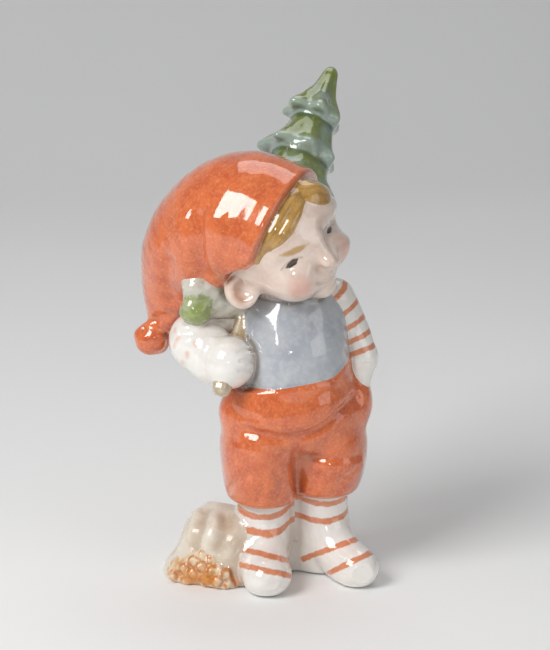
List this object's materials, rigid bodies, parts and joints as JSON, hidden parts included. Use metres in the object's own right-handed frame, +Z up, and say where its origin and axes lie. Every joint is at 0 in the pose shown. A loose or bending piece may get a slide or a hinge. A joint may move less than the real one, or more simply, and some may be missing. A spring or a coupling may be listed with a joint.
{
  "type": "porcelain elf figurine",
  "caption": "Glazed porcelain Christmas elf in a drooping hood and gathered breeches, carrying a small fir tree over the shoulder beside a tree stump; a free-standing shelf ornament.",
  "frame": {"origin": "on the ground midway between the two legs, under the web that ties them", "axes": "the elf looks towards -Y, its left side is +X, and it stands up along +Z"},
  "size_m": [0.0624, 0.0641, 0.1323],
  "materials": {
    "stocking_glaze": "gloss",
    "breeches_glaze": "gloss",
    "jumper_glaze": "gloss",
    "skin_glaze": "gloss",
    "hair_glaze": "gloss",
    "hat_glaze": "gloss",
    "sleeve_glaze": "gloss",
    "hand_glaze": "gloss",
    "trunk_glaze": "gloss",
    "fir_glaze": "gloss",
    "bark_glaze": "gloss",
    "chip_glaze": "gloss"
  },
  "bodies": {
    "root": {"right_leg": "stocking_glaze", "left_leg": "stocking_glaze", "leg_web": "stocking_glaze", "breeches": "breeches_glaze", "torso": "jumper_glaze", "head": "skin_glaze", "right_ear": "skin_glaze", "left_ear": "skin_glaze", "hair_fringe": "hair_glaze", "hat": "hat_glaze", "hat_tip": "hat_glaze", "right_sleeve": "sleeve_glaze", "right_fist": "hand_glaze", "left_sleeve": "sleeve_glaze", "left_hand": "hand_glaze", "tree_trunk": "trunk_glaze", "lowest_boughs": "fir_glaze", "lower_boughs": "fir_glaze", "middle_boughs": "fir_glaze", "upper_boughs": "fir_glaze", "tree_top": "fir_glaze", "stump": "bark_glaze", "wood_chips": "chip_glaze"}
  },
  "joints": []
}
